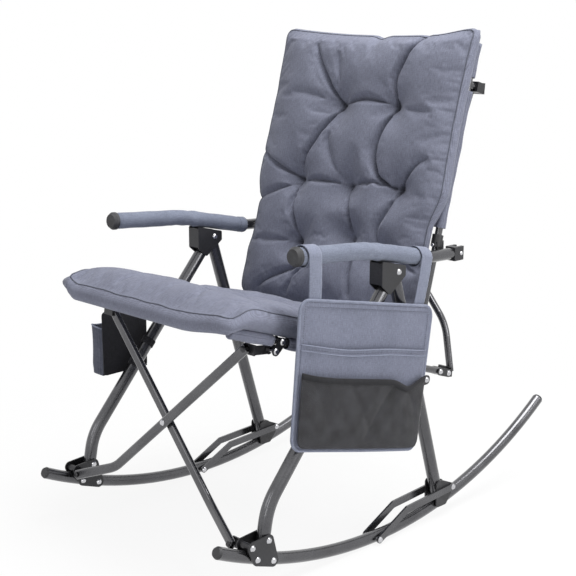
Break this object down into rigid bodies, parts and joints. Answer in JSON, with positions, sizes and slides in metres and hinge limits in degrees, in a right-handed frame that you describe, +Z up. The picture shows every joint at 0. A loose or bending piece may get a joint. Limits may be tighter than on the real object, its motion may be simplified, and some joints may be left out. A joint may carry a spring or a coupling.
{
  "type": "folding rocking camping chair",
  "caption": "Folding camping chair on bent rocker tubes, with scissor frame, tufted seat and back, padded arms and side bags.",
  "frame": {"origin": "on the floor under the rockers' low point, in the chair's plane of symmetry", "axes": "+X to the sitter's left, -Y the way the chair faces, +Z up"},
  "size_m": [0.6876, 1.0529, 1.0617],
  "materials": {
    "frame_tube": "satin",
    "bracket": "matte",
    "rivet": "polished",
    "plastic": "matte",
    "cushion_cloth": "matte",
    "mesh": "matte"
  },
  "bodies": {
    "right_side": {"right_rocker": "frame_tube", "right_rocker_plugs": "plastic", "right_foot_plates": "bracket", "right_front_leg": "frame_tube", "right_rear_leg": "frame_tube", "right_saddle": "bracket", "right_link_bars": "frame_tube", "right_arm_bracket": "bracket", "right_arm_tube": "frame_tube", "right_arm_sleeve": "cushion_cloth", "right_arm_plug": "plastic", "right_arm_clevis": "plastic", "right_upright_collar": "plastic", "right_rail_lugs": "bracket", "right_side_rivets": "rivet", "right_pouch": "cushion_cloth"},
    "right_rail": {"right_seat_rail": "frame_tube", "right_rail_brackets": "bracket", "right_rail_rivets": "rivet", "seat_cushion": "cushion_cloth", "seat_sling": "cushion_cloth"},
    "right_back": {"right_back_upright": "frame_tube", "right_stub_bracket": "plastic", "back_cushion": "cushion_cloth", "back_sling": "cushion_cloth"},
    "right_foot_knuckle": {"right_foot_knuckle": "bracket"},
    "right_top_knuckle": {"right_top_knuckle": "bracket"},
    "right_rear_knuckle": {"right_rear_knuckle": "plastic"},
    "left_side": {"left_rocker": "frame_tube", "left_rocker_plugs": "plastic", "left_foot_plates": "bracket", "left_front_leg": "frame_tube", "left_rear_leg": "frame_tube", "left_saddle": "bracket", "left_link_bars": "frame_tube", "left_arm_bracket": "bracket", "left_arm_tube": "frame_tube", "left_arm_sleeve": "cushion_cloth", "left_arm_plug": "plastic", "left_arm_clevis": "plastic", "left_upright_collar": "plastic", "left_rail_lugs": "bracket", "left_side_rivets": "rivet"},
    "left_rail": {"left_seat_rail": "frame_tube", "left_rail_brackets": "bracket", "left_rail_rivets": "rivet"},
    "left_back": {"left_back_upright": "frame_tube", "left_stub_bracket": "plastic"},
    "left_foot_knuckle": {"left_foot_knuckle": "bracket"},
    "left_top_knuckle": {"left_top_knuckle": "bracket"},
    "left_rear_knuckle": {"left_rear_knuckle": "plastic"},
    "front_brace_a": {"front_brace_a": "frame_tube", "front_cross_rivet": "rivet"},
    "front_brace_b": {"front_brace_b": "frame_tube"},
    "rear_brace_c": {"rear_brace_c": "frame_tube", "rear_cross_rivet": "rivet"},
    "rear_brace_d": {"rear_brace_d": "frame_tube"},
    "organizer": {"organizer_panel": "cushion_cloth", "organizer_pocket": "cushion_cloth", "organizer_mesh": "mesh"}
  },
  "joints": [
    {"name": "right_foot_turn", "type": "hinge", "parent": "right_side", "child": "right_foot_knuckle", "pos_m": [-0.285, -0.385, 0.1086], "axis": [-1, 0, 0], "range_deg": [0, 8.26]},
    {"name": "fold", "type": "hinge", "parent": "right_foot_knuckle", "child": "front_brace_a", "pos_m": [-0.252, -0.39511, 0.10639], "axis": [0, -0.9905, 0.1374], "range_deg": [0, 33], "deforming": ["seat_cushion", "seat_sling", "back_cushion", "back_sling"]},
    {"name": "front_cross", "type": "hinge", "parent": "front_brace_a", "child": "front_brace_b", "pos_m": [0, -0.3448, 0.2776], "axis": [0, -0.9905, 0.1374], "range_deg": [-66.02, 0]},
    {"name": "left_top_turn", "type": "hinge", "parent": "front_brace_a", "child": "left_top_knuckle", "pos_m": [0.218, -0.32407, 0.4728], "axis": [0, -0.9905, 0.1374], "range_deg": [-33.02, 0]},
    {"name": "left_foot_pivot", "type": "hinge", "parent": "front_brace_b", "child": "left_foot_knuckle", "pos_m": [0.252, -0.39511, 0.10639], "axis": [0, -0.9905, 0.1374], "range_deg": [0, 33.02]},
    {"name": "left_foot_turn", "type": "hinge", "parent": "left_foot_knuckle", "child": "left_side", "pos_m": [0.285, -0.385, 0.1086], "axis": [-1, 0, 0], "range_deg": [-8.26, 0]},
    {"name": "right_top_turn", "type": "hinge", "parent": "front_brace_b", "child": "right_top_knuckle", "pos_m": [-0.218, -0.31159, 0.47107], "axis": [0, -0.9905, 0.1374], "range_deg": [0, 33.02]},
    {"name": "right_rail_turn", "type": "hinge", "parent": "right_side", "child": "right_rail", "pos_m": [-0.2486, 0.126, 0.333], "axis": [-1, 0, 0], "range_deg": [0, 26.89]},
    {"name": "right_back_slide", "type": "slide", "parent": "right_side", "child": "right_back", "axis": [0, 0.2706, 0.9627], "range_m": [0, 0.06719]},
    {"name": "right_rear_turn", "type": "hinge", "parent": "right_rail", "child": "right_rear_knuckle", "pos_m": [-0.2486, 0.25681, 0.31142], "axis": [-1, 0, 0], "range_deg": [-24.64, 0]},
    {"name": "left_rail_turn", "type": "hinge", "parent": "left_side", "child": "left_rail", "pos_m": [0.2486, 0.126, 0.333], "axis": [-1, 0, 0], "range_deg": [0, 26.89]},
    {"name": "left_back_slide", "type": "slide", "parent": "left_side", "child": "left_back", "axis": [0, 0.2706, 0.9627], "range_m": [0, 0.06719]},
    {"name": "left_rear_turn", "type": "hinge", "parent": "left_rail", "child": "left_rear_knuckle", "pos_m": [0.2486, 0.25681, 0.31142], "axis": [-1, 0, 0], "range_deg": [-24.64, 0]},
    {"name": "rear_pivot", "type": "hinge", "parent": "right_rear_knuckle", "child": "rear_brace_c", "pos_m": [-0.23, 0.28198, 0.3089], "axis": [0, -0.9951, 0.0993], "range_deg": [0, 22.24]},
    {"name": "rear_cross", "type": "hinge", "parent": "rear_brace_c", "child": "rear_brace_d", "pos_m": [0, 0.32169, 0.62309], "axis": [0, -0.9951, 0.0993], "range_deg": [-44.46, 0]},
    {"name": "organizer_swing", "type": "hinge", "parent": "left_side", "child": "organizer", "pos_m": [0.285, -0.222, 0.64994], "axis": [0, -0.9898, 0.1425], "range_deg": [0, 60]}
  ],
  "couplings": [
    {"joint": "right_foot_turn", "follows": "fold", "ratio": 0.24957},
    {"joint": "front_cross", "follows": "fold", "ratio": -2},
    {"joint": "left_top_turn", "follows": "fold", "ratio": -1},
    {"joint": "left_foot_pivot", "follows": "fold", "ratio": 1},
    {"joint": "left_foot_turn", "follows": "fold", "ratio": -0.24957},
    {"joint": "right_top_turn", "follows": "fold", "ratio": 1},
    {"joint": "right_rail_turn", "follows": "fold", "ratio": 0.81423},
    {"joint": "right_back_slide", "follows": "fold", "m_per_rad": 0.11662},
    {"joint": "right_rear_turn", "follows": "fold", "ratio": -0.74612},
    {"joint": "left_rail_turn", "follows": "fold", "ratio": 0.81423},
    {"joint": "left_back_slide", "follows": "fold", "m_per_rad": 0.11662},
    {"joint": "left_rear_turn", "follows": "fold", "ratio": -0.74612},
    {"joint": "rear_pivot", "follows": "fold", "ratio": 0.67327},
    {"joint": "rear_cross", "follows": "fold", "ratio": -1.3465}
  ]
}
